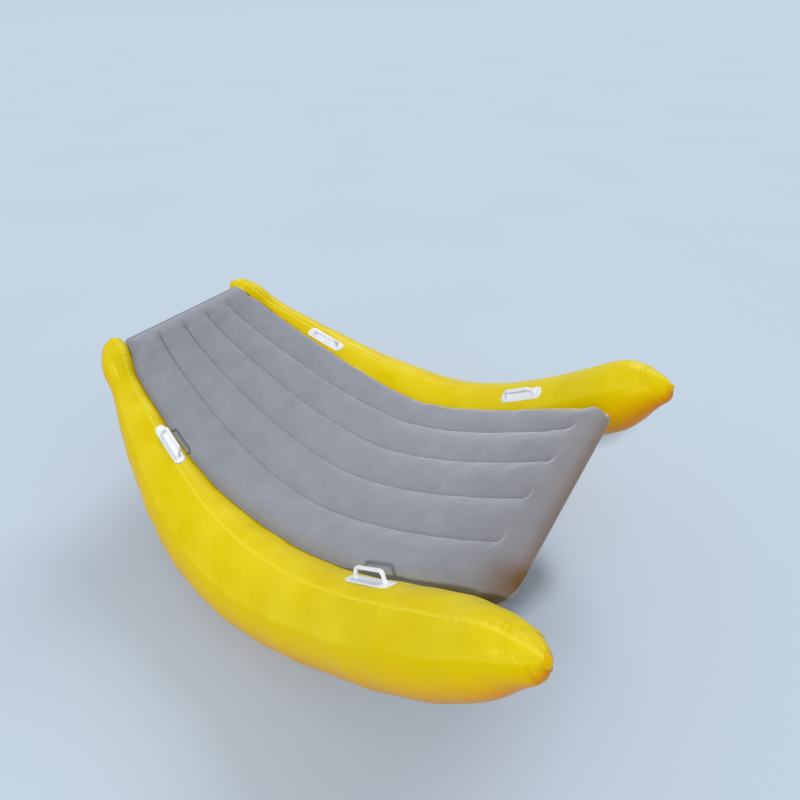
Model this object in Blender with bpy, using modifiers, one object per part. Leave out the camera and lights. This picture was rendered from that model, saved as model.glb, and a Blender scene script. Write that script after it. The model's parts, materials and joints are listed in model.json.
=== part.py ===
# Inflatable rocking chair: two banana-shaped air tubes, a mattress of five air channels slung
# between them, four grab handles and three screw valves.
# Metres, +Z up. +X runs from the head end to the foot end, and the chair stands on z = 0.

import math

import bmesh
import bpy
from mathutils import Matrix, Vector

# Rocker: each tube's centre line climbs from its lowest point to both ends as a power of the way there
HEAD_REACH = 1.0275
HEAD_RISE = 0.521
HEAD_CLIMB_POWER = 2.03
FOOT_REACH = 0.9405
FOOT_RISE = 0.550
FOOT_CLIMB_POWER = 1.71
LOWEST_POINT_X = 0.0408

# Distance from the middle of the chair to each tube's centre line
HEAD_HALF_SPREAD = 0.336
MIDDLE_HALF_SPREAD = 0.586
FOOT_HALF_SPREAD = 0.557
HEAD_SQUARE_SHARE = 0.94
FOOT_SQUARE_SHARE = 0.27

# Air tubes
TUBE_RADIUS = 0.1645
GIRTH_SHARES = (
    (-1.0, 0.62),
    (-0.95, 0.64),
    (-0.85, 0.46),
    (-0.70, 0.59),
    (-0.50, 0.785),
    (-0.27, 0.995),
    (0.0, 1.0),
    (0.27, 0.935),
    (0.50, 0.867),
    (0.70, 0.857),
    (0.85, 0.85),
    (0.95, 0.77),
    (1.0, 0.75),
)
HEAD_NOSE_ORDER = 7.8
HEAD_NOSE_POWER = 0.50
FOOT_NOSE_ORDER = 5.7
FOOT_NOSE_POWER = 0.43
SLOPE_STEP_SHARE = 0.0001
FILM = 0.0006
LAP_WIDTH = 0.010
STEP_WIDTH = 0.0034
UPPER_SEAM_ANGLE = math.radians(90)
LOWER_SEAM_ANGLE = math.radians(260)
REST_HEAD_LENGTH = 0.052
REST_FOOT_LENGTH = 0.026
REST_HALF_WIDTH = 0.014
REST_DEPTH = 0.0020
TUBE_ROWS = 28
TOP_COLUMNS = 8
SIDE_COLUMNS = 8
UNDER_COLUMNS = 1

# Clearance left between pieces that are welded or lie on each other
GAP = 0.0003
OVERRUN = 0.02
MERGE_DISTANCE = 0.00003

# Nose plugs, each closing the hole where the panels gather
PLUG_RADIUS = 0.014
PLUG_CLEARANCE = 0.0022
PLUG_RIM = 0.004
PLUG_RIM_THICKNESS = 0.0012
PLUG_CROWN = 0.003
PLUG_DEPTH = 0.006
PLUG_SIDES = 16
PLUG_RIM_CLEARANCE = 0.003
PLUG_DOME_SHARES = ((0.0, 1.0), (0.55, 0.8), (0.9, 0.3), (1.0, 0.0))

# Mattress
MATTRESS_HEAD_REACH = 0.990
MATTRESS_FOOT_REACH = 0.8580
MATTRESS_FILM = 0.0008
MIDDLE_TOP_HEIGHT = 0.153
HEAD_TOP_HEIGHT = 0.074
FOOT_TOP_HEIGHT = 0.043
WELD_REACH_SHARE = 0.76
CROWN_HEIGHT = 0.042
FOOT_CROWN_HEIGHT = 0.028
SEAM_SHARE = 0.62
CHANNEL_WIDTH = 0.191
SEAM_STOP = 0.040
SEAM_FADE = 0.045
WELD_FLANGE = 0.010
END_ROLL = 0.060
END_ROLL_SHARES = (0.0, 0.2, 1.0)
FOOT_CORNER = 0.060
HEAD_CORNER = 0.018
CROWN_SHARE = 0.5
CROWN_ROUNDNESS = 0.8
OUTER_SEAM = 1.5
SEAM_PLACES = (-1.5, -0.5, 0.5, 1.5)
WEB_FILM = 0.0008
WEB_CLEARANCE = 0.0007
BAND_FILM = 0.0008
BAND_LIFT = 0.0006
BAND_HALF_WIDTH = 0.010
BAND_INSET = 0.075

# Grab handles
HEAD_HANDLE_LEAN = math.radians(19)
FOOT_HANDLE_LEAN = math.radians(27)
HEAD_HANDLE_X = -0.590
FOOT_HANDLE_X = 0.540
PLATE_LENGTH = 0.170
PLATE_WIDTH = 0.052
PLATE_CORNER = 0.022
PLATE_THICKNESS = 0.003
PLATE_SEAT = 0.0005
PLATE_COLUMNS = 8
PLATE_ROWS = 4
LOOP_LENGTH = 0.118
LOOP_HEIGHT = 0.034
LOOP_BEND = 0.016
LOOP_BAR = 0.0065
LOOP_FOOT = 0.012
LOOP_FLARE_SHARE = 0.3
LOOP_BEND_SHARES = (0.0, 0.5, 1.0)

# Valves: a welded base, a screwed insert on its gasket, a one-way flap and a hinged cap
VALVE_FLANGE_RADIUS = 0.025
VALVE_FLANGE_THICKNESS = 0.0012
VALVE_NECK_RADIUS = 0.0150
VALVE_BORE_RADIUS = 0.0115
VALVE_COLLAR_HEIGHT = 0.0060
VALVE_NECK_DEPTH = 0.0120
GASKET_THICKNESS = 0.0012
GASKET_WIDTH = 0.0026
INSERT_HEAD_RADIUS = 0.0150
INSERT_HEAD_THICKNESS = 0.0030
INSERT_BORE_RADIUS = 0.0060
INSERT_LENGTH = 0.0110
INSERT_LUG = 0.0018
INSERT_LUG_WIDTH = 0.0080
INSERT_LUG_ROOT = 0.0022
FLAP_RADIUS = 0.0085
FLAP_THICKNESS = 0.0008
CAP_RADIUS = 0.0130
CAP_THICKNESS = 0.0020
CAP_PLUG_LENGTH = 0.0040
CAP_PLUG_TAPER = 0.0009
CAP_PLUG_CLEARANCE = 0.0006
CAP_TAB = 0.0030
CAP_TAB_WIDTH = 0.0090
VALVE_SIDES = 24
TUBE_VALVE_ROW = 11
TUBE_VALVE_COLUMN = 7
MATTRESS_VALVE_X = -0.600


def clear_scene():
    for thing in list(bpy.data.objects):
        bpy.data.objects.remove(thing, do_unlink=True)
    for group in list(bpy.data.collections):
        bpy.data.collections.remove(group)


def new_collection(name):
    group = bpy.data.collections.new(name)
    bpy.context.scene.collection.children.link(group)
    return group


clear_scene()
CHAIR = new_collection("inflatable_rocking_chair")
CUTTERS = new_collection("cutters")


def plain_material(name, colour, roughness, metallic=0.0):
    material = bpy.data.materials.new(name)
    material.use_nodes = True
    shader = material.node_tree.nodes["Principled BSDF"]
    shader.inputs["Base Color"].default_value = (*colour, 1.0)
    shader.inputs["Roughness"].default_value = roughness
    shader.inputs["Metallic"].default_value = metallic
    return material


def add_object(name, mesh, material, group=CHAIR):
    piece = bpy.data.objects.new(name, mesh)
    mesh.materials.append(material)
    group.objects.link(piece)
    return piece


def shade_round(mesh, angle=math.radians(40)):
    mesh.shade_smooth()
    mesh.set_sharp_from_angle(angle=angle)


# The rocker's curve

def climb(share):
    """Reach, rise and power of the half that this share lies in."""
    if share < 0:
        return HEAD_REACH, HEAD_RISE, HEAD_CLIMB_POWER
    return FOOT_REACH, FOOT_RISE, FOOT_CLIMB_POWER


def rocker(share):
    """Centre line at a share of the reach, -1 at the head and 1 at the foot: x, z and its direction."""
    reach, rise, power = climb(share)
    slope = math.copysign(power * rise * abs(share) ** (power - 1) / reach, share)
    length = math.hypot(1, slope)
    x = LOWEST_POINT_X + share * reach
    z = TUBE_RADIUS - REST_DEPTH + rise * abs(share) ** power
    return x, z, 1 / length, slope / length


def share_at(x):
    """Share of the reach of a point this far along the chair from the rocker's lowest point."""
    return x / (HEAD_REACH if x < 0 else FOOT_REACH)


def girth(share):
    """Share of the tube's radius between the measured places, smooth and without overshoot."""
    last = len(GIRTH_SHARES) - 2
    k = min(last, max(j for j in range(last + 1) if j == 0 or GIRTH_SHARES[j][0] <= share))
    rates = [(b[1] - a[1]) / (b[0] - a[0]) for a, b in zip(GIRTH_SHARES, GIRTH_SHARES[1:])]
    start = blended_rate(rates[max(0, k - 1)], rates[k])
    end = blended_rate(rates[k], rates[min(last, k + 1)])
    (low, first), (high, second) = GIRTH_SHARES[k], GIRTH_SHARES[k + 1]
    width = high - low
    t = (share - low) / width
    bend = t * (1 - t) * width * ((1 - t) * (start - rates[k]) - t * (end - rates[k]))
    return first + (second - first) * t + bend


def blended_rate(before, after):
    return 2 * before * after / (before + after) if before * after > 0 else 0.0


def tube_radius(share):
    order, power = (HEAD_NOSE_ORDER, HEAD_NOSE_POWER) if share < 0 else (FOOT_NOSE_ORDER, FOOT_NOSE_POWER)
    return TUBE_RADIUS * girth(share) * max(0.0, 1 - abs(share) ** order) ** power


def share_of_radius(radius, end):
    """Share of the reach where the nose has narrowed to this radius, at the head (-1) or the foot (1)."""
    inner, outer = max(place for place, kept in GIRTH_SHARES[:-1]), 1.0
    while outer - inner > SLOPE_STEP_SHARE ** 2:
        middle = (inner + outer) / 2
        if tube_radius(end * middle) > radius:
            inner = middle
        else:
            outer = middle
    return end * outer


def half_spread(share):
    end, square = (HEAD_HALF_SPREAD, HEAD_SQUARE_SHARE) if share < 0 else (FOOT_HALF_SPREAD, FOOT_SQUARE_SHARE)
    return MIDDLE_HALF_SPREAD + (end - MIDDLE_HALF_SPREAD) * share ** 2 * (square + (1 - square) * abs(share))


def nose_taper(share):
    """How fast the tube widens along its centre line."""
    step = min(SLOPE_STEP_SHARE, (1 - abs(share)) / 4)
    return (tube_radius(share + step) - tube_radius(share - step)) / (2 * step * slant(share))


def slant(share):
    """Length along the centre line for one whole share, near this share."""
    reach = HEAD_REACH if share < 0 else FOOT_REACH
    return reach / rocker(share)[2]


def tube_point(side, share, angle, lift=0.0):
    """Point on a tube, lifted square to its skin. Angle 0 looks away from the mattress, a quarter turn up."""
    x, z, along_x, along_z = rocker(share)
    taper = nose_taper(share)
    square = math.hypot(1, taper)
    reach = tube_radius(share) + lift / square
    slide = -lift * taper / square
    up = reach * math.sin(angle)
    y = side * (half_spread(share) + reach * math.cos(angle))
    return Vector((x - up * along_z + slide * along_x, y, z + up * along_x + slide * along_z))


def rocker_rows():
    """Shares of the tube's cross rows: close together on the noses, one at each end of the flat rest."""
    head = share_of_radius(PLUG_RADIUS, -1)
    foot = share_of_radius(PLUG_RADIUS, 1)
    half = TUBE_ROWS // 2
    turns = [math.sin(math.pi / 2 * k / half) for k in range(1, half + 1)]
    shares = [head * t for t in reversed(turns)]
    shares += [share_at(-REST_HEAD_LENGTH), share_at(REST_FOOT_LENGTH)]
    return shares + [foot * t for t in turns]


ROWS = rocker_rows()


def even_steps(start, end, count):
    return [start + (end - start) * k / count for k in range(count + 1)]


# Surfaces carried by a grid

def grid_mesh(name, columns, rows, place, turned=False):
    """A square grid primitive whose crossings are carried to place(column, row)."""
    grid = bmesh.new()
    bmesh.ops.create_grid(grid, x_segments=columns, y_segments=rows, size=1.0)
    for vertex in grid.verts:
        column = round((vertex.co.x + 1) / 2 * columns)
        row = round((vertex.co.y + 1) / 2 * rows)
        vertex.co = place(column, row)
    if turned:
        bmesh.ops.reverse_faces(grid, faces=grid.faces)
    mesh = bpy.data.meshes.new(name)
    grid.to_mesh(mesh)
    grid.free()
    return mesh


def thicken(piece, thickness, offset):
    """Turns an open surface into a film: offset -1 grows inwards, 1 outwards, 0 both ways."""
    shell = piece.modifiers.new("film", "SOLIDIFY")
    shell.thickness = thickness
    shell.offset = offset
    shell.use_even_offset = True
    return shell


def cut(piece, cutter):
    cutter.hide_render = True
    cutter.display_type = "WIRE"
    slot = piece.modifiers.new("cut", "BOOLEAN")
    slot.operation = "DIFFERENCE"
    slot.solver = "EXACT"
    slot.object = cutter


def box_guide(name, low, high):
    """A plain box between two corners, kept with the cutters."""
    mesh = bpy.data.meshes.new(name)
    block = bmesh.new()
    bmesh.ops.create_cube(block, size=1.0)
    bmesh.ops.scale(block, vec=high - low, verts=block.verts)
    bmesh.ops.translate(block, vec=(low + high) / 2, verts=block.verts)
    block.to_mesh(mesh)
    block.free()
    guide = bpy.data.objects.new(name, mesh)
    CUTTERS.objects.link(guide)
    return guide


def disc_mesh(name, radius, low, high):
    """A closed disc between two heights."""
    mesh = bpy.data.meshes.new(name)
    disc = bmesh.new()
    depth = high - low
    bmesh.ops.create_cone(disc, cap_ends=True, segments=VALVE_SIDES, radius1=radius, radius2=radius, depth=depth)
    bmesh.ops.translate(disc, vec=(0.0, 0.0, (low + high) / 2), verts=disc.verts)
    disc.to_mesh(mesh)
    disc.free()
    return mesh


def joined(body, other, name):
    """One mesh of two overlapping guides, which are then removed."""
    weld = body.modifiers.new("weld", "BOOLEAN")
    weld.operation = "UNION"
    weld.solver = "EXACT"
    weld.object = other
    view = bpy.context.evaluated_depsgraph_get()
    mesh = bpy.data.meshes.new_from_object(body.evaluated_get(view), depsgraph=view)
    mesh.name = name
    mesh.materials.clear()
    for guide in (body, other):
        bpy.data.objects.remove(guide, do_unlink=True)
    return mesh


# Air tubes: an outer and an inner panel, lapped and welded along two lengthwise seams

LAP_ANGLE = LAP_WIDTH / TUBE_RADIUS
STEP_ANGLE = STEP_WIDTH / TUBE_RADIUS
REST_ANGLE = REST_HALF_WIDTH / TUBE_RADIUS
DOWN = math.radians(270)
UPPER_SEAM = UPPER_SEAM_ANGLE + 2 * math.pi


def outer_panel_angles():
    under = even_steps(LOWER_SEAM_ANGLE + LAP_ANGLE, DOWN - REST_ANGLE, UNDER_COLUMNS)
    around = even_steps(DOWN + REST_ANGLE, UPPER_SEAM - LAP_ANGLE, SIDE_COLUMNS)
    return [LOWER_SEAM_ANGLE] + under + around + [UPPER_SEAM]


def inner_panel_columns():
    """Angle and radial lift of each column: the edges step down to pass under the outer panel."""
    under = -FILM - GAP
    start = UPPER_SEAM_ANGLE + 2 * STEP_ANGLE
    end = LOWER_SEAM_ANGLE - 2 * STEP_ANGLE
    columns = [(UPPER_SEAM_ANGLE - LAP_ANGLE, under), (UPPER_SEAM_ANGLE + STEP_ANGLE, under)]
    columns += [(angle, 0.0) for angle in even_steps(start, end, TOP_COLUMNS)]
    columns += [(LOWER_SEAM_ANGLE - STEP_ANGLE, under), (LOWER_SEAM_ANGLE + LAP_ANGLE, under)]
    return columns


OUTER_ANGLES = outer_panel_angles()
INNER_COLUMNS = inner_panel_columns()


def outer_panel(name, side, material):
    def place(column, row):
        point = tube_point(side, ROWS[row], OUTER_ANGLES[column])
        point.z = max(point.z, 0.0)
        return point

    mesh = grid_mesh(name, len(OUTER_ANGLES) - 1, len(ROWS) - 1, place, turned=side < 0)
    piece = add_object(name, mesh, material)
    thicken(piece, FILM, -1)
    shade_round(mesh)
    return piece


def inner_panel_point(side, column, row):
    angle, lift = INNER_COLUMNS[column]
    return tube_point(side, ROWS[row], angle, lift)


def inner_panel(name, side, material):
    def place(column, row):
        return inner_panel_point(side, column, row)

    mesh = grid_mesh(name, len(INNER_COLUMNS) - 1, len(ROWS) - 1, place, turned=side < 0)
    piece = add_object(name, mesh, material)
    thicken(piece, FILM, -1)
    shade_round(mesh)
    return piece


def turned_piece(name, profile, sides, material, group=CHAIR):
    """Revolves a profile of (radius, height) points, run down the outer side, about local Z."""
    mesh = bpy.data.meshes.new(name)
    outline = bmesh.new()
    points = [outline.verts.new((radius, 0.0, height)) for radius, height in profile]
    for start, end in zip(points, points[1:]):
        outline.edges.new((start, end))
    outline.to_mesh(mesh)
    outline.free()
    piece = add_object(name, mesh, material, group)
    spin = piece.modifiers.new("turn", "SCREW")
    spin.steps = sides
    spin.render_steps = sides
    spin.use_merge_vertices = True
    spin.merge_threshold = MERGE_DISTANCE
    spin.use_smooth_shade = False
    return piece


def nose_drop(radius, end):
    """How far behind the tip the nose has widened to this radius, along the centre line."""
    return slant(end) * (1 - abs(share_of_radius(radius, end)))


def nose_plug(name, side, end, material):
    stem = PLUG_RADIUS - PLUG_CLEARANCE
    rim = PLUG_RADIUS + PLUG_RIM
    rim_top = -nose_drop(rim, end) - PLUG_RIM_CLEARANCE
    hole_level = -nose_drop(PLUG_RADIUS, end)
    profile = [(stem * across, hole_level + PLUG_CROWN * up) for across, up in PLUG_DOME_SHARES]
    profile += [
        (stem, rim_top + PLUG_RIM_THICKNESS / 2),
        (rim, rim_top),
        (rim, rim_top - PLUG_RIM_THICKNESS),
        (stem, hole_level - PLUG_DEPTH),
        (0.0, hole_level - PLUG_DEPTH),
    ]
    piece = turned_piece(name, profile, PLUG_SIDES, material)
    x, z, along_x, along_z = rocker(end)
    outward = Vector((along_x, 0.0, along_z)) * end
    tip = Matrix.Translation((x, side * half_spread(share_of_radius(PLUG_RADIUS, end)), z))
    piece.matrix_world = tip @ aimed(outward, Vector((0.0, 1.0, 0.0)))
    return piece


def aimed(normal, along):
    """Rotation that turns local Z to the normal and local X as near to along as it can."""
    z_axis = normal.normalized()
    x_axis = (along - z_axis * along.dot(z_axis)).normalized()
    y_axis = z_axis.cross(x_axis)
    return Matrix((x_axis, y_axis, z_axis)).transposed().to_4x4()


# Mattress: a top and a bottom sheet, welded to each other round the edge, with a web at each seam

def mattress_line(share):
    """Height of the mattress's weld line above the tube's centre line, square to it."""
    tilt = (FOOT_TOP_HEIGHT - HEAD_TOP_HEIGHT) / 2
    bow = (FOOT_TOP_HEIGHT + HEAD_TOP_HEIGHT) / 2 - MIDDLE_TOP_HEIGHT
    line = MIDDLE_TOP_HEIGHT + tilt * share + bow * share ** 2 - crown_height(share)
    return min(line, WELD_REACH_SHARE * tube_radius(share))


def crown_height(share):
    """Height of a channel's crown over the weld line: the mattress thins towards the foot."""
    return CROWN_HEIGHT - (CROWN_HEIGHT - FOOT_CROWN_HEIGHT) * max(0.0, share) ** 2


def chair_point(share, y, height):
    """Point on the chair at a height above the tubes' centre lines, square to them."""
    x, z, along_x, along_z = rocker(share)
    return Vector((x - height * along_z, y, z + height * along_x))


def mattress_half_width(share):
    """Half width out to the welding band on the tube's flank, at the foot of the lower flange."""
    reach = tube_radius(share) + BAND_LIFT + BAND_FILM + GAP
    foot = mattress_line(share) - MATTRESS_FILM - GAP / 2
    return half_spread(share) - math.sqrt(reach ** 2 - foot ** 2) - GAP


def arc_inset(distance, corner):
    """How far a round corner draws the side in, at this distance from the end."""
    short = max(0.0, corner - distance)
    return corner - math.sqrt(corner ** 2 - short ** 2)


def mattress_rows():
    """Shares of the mattress's cross rows: close at the rolled ends, and on the tube's own rows between."""
    head = share_at(-MATTRESS_HEAD_REACH)
    foot = share_at(MATTRESS_FOOT_REACH)
    steps = [0.0] + [WELD_FLANGE + END_ROLL * roll for roll in END_ROLL_SHARES]
    head_shares = [head + distance / slant(head) for distance in steps]
    foot_shares = [foot - distance / slant(foot) for distance in reversed(steps)]
    start = head_shares[-1] + END_ROLL / 2 / slant(head)
    end = foot_shares[0] - END_ROLL / 2 / slant(foot)
    return head_shares + [share for share in ROWS if start < share < end] + foot_shares


MATTRESS_SHARES = mattress_rows()
MATTRESS_HEAD = MATTRESS_SHARES[0]
MATTRESS_FOOT = MATTRESS_SHARES[-1]
OUTER_CHANNEL_SHARES = (0.0, 0.22, 0.5, 0.8, 1.0)
INNER_CHANNEL_SHARES = (-0.5, -0.25, 0.0, 0.25, 0.5)


def end_distance(share):
    return min((share - MATTRESS_HEAD) * slant(MATTRESS_HEAD), (MATTRESS_FOOT - share) * slant(MATTRESS_FOOT))


def channel_pitch(share):
    return CHANNEL_WIDTH * half_spread(share) / MIDDLE_HALF_SPREAD


def mattress_columns(share):
    """(y, kind) of each column across a row; kind is the share of the crown that the column reaches."""
    pitch = channel_pitch(share)
    corner = HEAD_CORNER if share < 0 else FOOT_CORNER
    edge = mattress_half_width(share) - arc_inset(end_distance(share), corner)
    wall = edge - WELD_FLANGE
    seam = OUTER_SEAM * pitch
    outer = [(seam + (wall - seam) * q, outer_crown(q)) for q in OUTER_CHANNEL_SHARES]
    inner = []
    for channel in (-1, 0, 1):
        start = 0 if channel == -1 else 1
        inner += [((channel + q) * pitch, inner_crown(q)) for q in INNER_CHANNEL_SHARES[start:]]
    left = outer[1:] + [(edge, None)]
    right = [(-y, kind) for y, kind in reversed(left)]
    return right + inner + left


def inner_crown(q):
    return math.cos(math.pi * q) ** CROWN_ROUNDNESS if abs(q) < CROWN_SHARE else 0.0


def outer_crown(q):
    """Rises from the last seam to the crown, then rolls down to the weld flange; -1 is the flange's level."""
    if q < CROWN_SHARE:
        return math.sin(math.pi * q) ** CROWN_ROUNDNESS
    fall = (q - CROWN_SHARE) / (1 - CROWN_SHARE)
    return 1 - fall ** 3 / (1 - SEAM_SHARE)


def mattress_height(share, kind):
    """Height of the outer face over the weld line."""
    flange = GAP / 2 + MATTRESS_FILM
    if kind is None:
        return flange
    distance = end_distance(share) - WELD_FLANGE
    roll = min(1.0, max(0.0, distance) / END_ROLL)
    roundness = math.sqrt(1 - (1 - roll) ** 2)
    fade = min(1.0, max(0.0, distance + WELD_FLANGE - SEAM_STOP) / SEAM_FADE)
    crown = crown_height(share)
    seam = crown * (1 - (1 - SEAM_SHARE) * fade)
    if kind >= 0:
        height = seam + (crown - seam) * kind
    else:
        height = seam * (1 + kind * (1 - SEAM_SHARE) / SEAM_SHARE)
    return max(flange, height * roundness)


def mattress_sheet(name, face, material):
    """face is 1 for the top sheet and -1 for the bottom sheet."""
    table = [mattress_columns(share) for share in MATTRESS_SHARES]

    def place(column, row):
        share = MATTRESS_SHARES[row]
        y, kind = table[row][column]
        return chair_point(share, y, mattress_line(share) + face * mattress_height(share, kind))

    mesh = grid_mesh(name, len(table[0]) - 1, len(MATTRESS_SHARES) - 1, place, turned=face > 0)
    piece = add_object(name, mesh, material)
    thicken(piece, MATTRESS_FILM, -1)
    shade_round(mesh)
    return piece


def mattress_web(name, seam, material):
    """A web under one seam; seam is its place in channel widths from the middle."""
    rows = [share for share in MATTRESS_SHARES if end_distance(share) >= SEAM_STOP + SEAM_FADE / 2]

    def place(column, row):
        share = rows[column]
        half = mattress_height(share, 0.0) - MATTRESS_FILM - WEB_CLEARANCE
        return chair_point(share, seam * channel_pitch(share), mattress_line(share) + (2 * row - 1) * half)

    mesh = grid_mesh(name, len(rows) - 1, 1, place)
    piece = add_object(name, mesh, material)
    thicken(piece, WEB_FILM, 0)
    return piece


def weld_band(name, side, material):
    """The band on the tube's inner flank that the mattress's edge is welded to."""
    rows = [share for share in ROWS if end_distance(share) >= BAND_INSET]

    def place(column, row):
        share = rows[row]
        radius = tube_radius(share)
        middle = math.pi - math.asin(mattress_line(share) / radius)
        angle = middle + (column - 1) * BAND_HALF_WIDTH / radius
        return tube_point(side, share, angle, BAND_LIFT)

    mesh = grid_mesh(name, 2, len(rows) - 1, place, turned=side < 0)
    piece = add_object(name, mesh, material)
    thicken(piece, BAND_FILM, 1)
    return piece


# Grab handles: a rounded plate with an upright loop, moulded in one piece and laid on the tube

def loop_mesh(name):
    """The loop's bar, as a closed mesh in the handle's own flat frame."""
    half = LOOP_LENGTH / 2
    top = LOOP_HEIGHT
    corner = LOOP_BEND
    points = [(-half - LOOP_FOOT, 0.0)]
    for q in LOOP_BEND_SHARES:
        turn = math.pi / 2 * q
        flare = LOOP_FOOT * LOOP_FLARE_SHARE * (1 - q)
        x = -half - flare + corner * (1 - math.cos(turn))
        points.append((x, top - corner * (1 - math.sin(turn))))
    points += [(-x, height) for x, height in reversed(points)]
    curve = bpy.data.curves.new(name, "CURVE")
    curve.dimensions = "3D"
    curve.bevel_depth = LOOP_BAR
    curve.bevel_resolution = 1
    curve.use_fill_caps = True
    path = curve.splines.new("POLY")
    path.points.add(len(points) - 1)
    for knot, (x, height) in zip(path.points, points):
        knot.co = (x, 0.0, height, 1.0)
    guide = bpy.data.objects.new(name, curve)
    CUTTERS.objects.link(guide)
    view = bpy.context.evaluated_depsgraph_get()
    mesh = bpy.data.meshes.new_from_object(guide.evaluated_get(view))
    bpy.data.objects.remove(guide, do_unlink=True)
    bar = bmesh.new()
    bar.from_mesh(mesh)
    bmesh.ops.remove_doubles(bar, verts=bar.verts, dist=MERGE_DISTANCE)
    bmesh.ops.recalc_face_normals(bar, faces=bar.faces)
    bar.to_mesh(mesh)
    bar.free()
    return mesh


def plate_mesh(name):
    """The rounded plate as a film of full thickness, in the handle's flat frame."""
    def place(column, row):
        x = PLATE_LENGTH / 2 * math.sin(math.pi / 2 * (2 * column / PLATE_COLUMNS - 1))
        half = PLATE_WIDTH / 2 - arc_inset(PLATE_LENGTH / 2 - abs(x), PLATE_CORNER)
        return Vector((x, half * (2 * row / PLATE_ROWS - 1), PLATE_THICKNESS))

    return grid_mesh(name, PLATE_COLUMNS, PLATE_ROWS, place)


def handle_mesh(name):
    """Plate and loop joined in the flat frame: X along the tube, Z away from it, 0 on the skin."""
    plate = bpy.data.objects.new(name + "_plate", plate_mesh(name + "_plate"))
    CUTTERS.objects.link(plate)
    thicken(plate, PLATE_THICKNESS, -1)
    bar = bpy.data.objects.new(name + "_bar", loop_mesh(name + "_bar"))
    CUTTERS.objects.link(bar)
    low = Vector((-PLATE_LENGTH, -PLATE_WIDTH, PLATE_THICKNESS / 2 - OVERRUN))
    high = Vector((PLATE_LENGTH, PLATE_WIDTH, PLATE_THICKNESS / 2))
    trim = box_guide(name + "_trim", low, high)
    cut(bar, trim)
    mesh = joined(plate, bar, name)
    bpy.data.objects.remove(trim, do_unlink=True)
    return mesh


def facet_point(side, share, angle, lift):
    """Point over the straight facets that run between the tube's cross rows."""
    row = max(k for k, here in enumerate(ROWS[:-1]) if here <= share)
    t = (share - ROWS[row]) / (ROWS[row + 1] - ROWS[row])
    start = tube_point(side, ROWS[row], angle, lift)
    return start.lerp(tube_point(side, ROWS[row + 1], angle, lift), t)


def grab_handle(name, side, x, lean, material):
    """Lays the flat handle on a tube, leaning from its top towards the mattress."""
    mesh = handle_mesh(name)
    share = share_at(x)
    for vertex in mesh.vertices:
        along, across, height = vertex.co
        here = share + along / slant(share)
        angle = math.pi / 2 + lean - side * across / tube_radius(here)
        vertex.co = facet_point(side, here, angle, height + PLATE_SEAT)
    piece = add_object(name, mesh, material)
    shade_round(mesh)
    return piece


# Screw valves

# Heights over the flange's seat, up the stack from the welded base to the cap
COLLAR_TOP = VALVE_FLANGE_THICKNESS + VALVE_COLLAR_HEIGHT
GASKET_FOOT = COLLAR_TOP + GAP
HEAD_FOOT = GASKET_FOOT + GASKET_THICKNESS + GAP
HEAD_TOP = HEAD_FOOT + INSERT_HEAD_THICKNESS
BARREL_END = HEAD_TOP - INSERT_LENGTH
CAP_FOOT = HEAD_TOP + GAP
HINGE_REACH = INSERT_HEAD_RADIUS + INSERT_LUG


def valve_base(name, material):
    profile = [
        (VALVE_BORE_RADIUS, COLLAR_TOP),
        (VALVE_NECK_RADIUS, COLLAR_TOP),
        (VALVE_NECK_RADIUS, VALVE_FLANGE_THICKNESS),
        (VALVE_FLANGE_RADIUS, VALVE_FLANGE_THICKNESS),
        (VALVE_FLANGE_RADIUS, 0.0),
        (VALVE_NECK_RADIUS, 0.0),
        (VALVE_NECK_RADIUS, -VALVE_NECK_DEPTH),
        (VALVE_BORE_RADIUS, -VALVE_NECK_DEPTH),
        (VALVE_BORE_RADIUS, COLLAR_TOP),
    ]
    return turned_piece(name, profile, VALVE_SIDES, material)


def valve_gasket(name, material):
    inner = VALVE_BORE_RADIUS + GAP
    outer = inner + GASKET_WIDTH
    top = GASKET_FOOT + GASKET_THICKNESS
    profile = [(inner, top), (outer, top), (outer, GASKET_FOOT), (inner, GASKET_FOOT), (inner, top)]
    return turned_piece(name, profile, VALVE_SIDES, material)


def valve_insert(name, material):
    """A headed barrel with an air bore, and a lug that carries the cap's hinge."""
    barrel = VALVE_BORE_RADIUS - GAP
    profile = [
        (INSERT_BORE_RADIUS, HEAD_TOP),
        (INSERT_HEAD_RADIUS, HEAD_TOP),
        (INSERT_HEAD_RADIUS, HEAD_FOOT),
        (barrel, HEAD_FOOT),
        (barrel, BARREL_END),
        (INSERT_BORE_RADIUS, BARREL_END),
        (INSERT_BORE_RADIUS, HEAD_TOP),
    ]
    body = turned_piece(name + "_body", profile, VALVE_SIDES, material, CUTTERS)
    low = Vector((INSERT_HEAD_RADIUS - INSERT_LUG_ROOT, -INSERT_LUG_WIDTH / 2, HEAD_FOOT))
    high = Vector((HINGE_REACH, INSERT_LUG_WIDTH / 2, HEAD_TOP))
    lug = box_guide(name + "_lug", low, high)
    return add_object(name, joined(body, lug, name), material)


def valve_flap(name, material):
    """The one-way flap, hanging from its edge under the insert's bore."""
    seat = BARREL_END - GAP
    piece = add_object(name, disc_mesh(name, FLAP_RADIUS, seat - FLAP_THICKNESS, seat), material)
    return hinged_at(piece, Vector((FLAP_RADIUS, 0.0, seat)))


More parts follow.
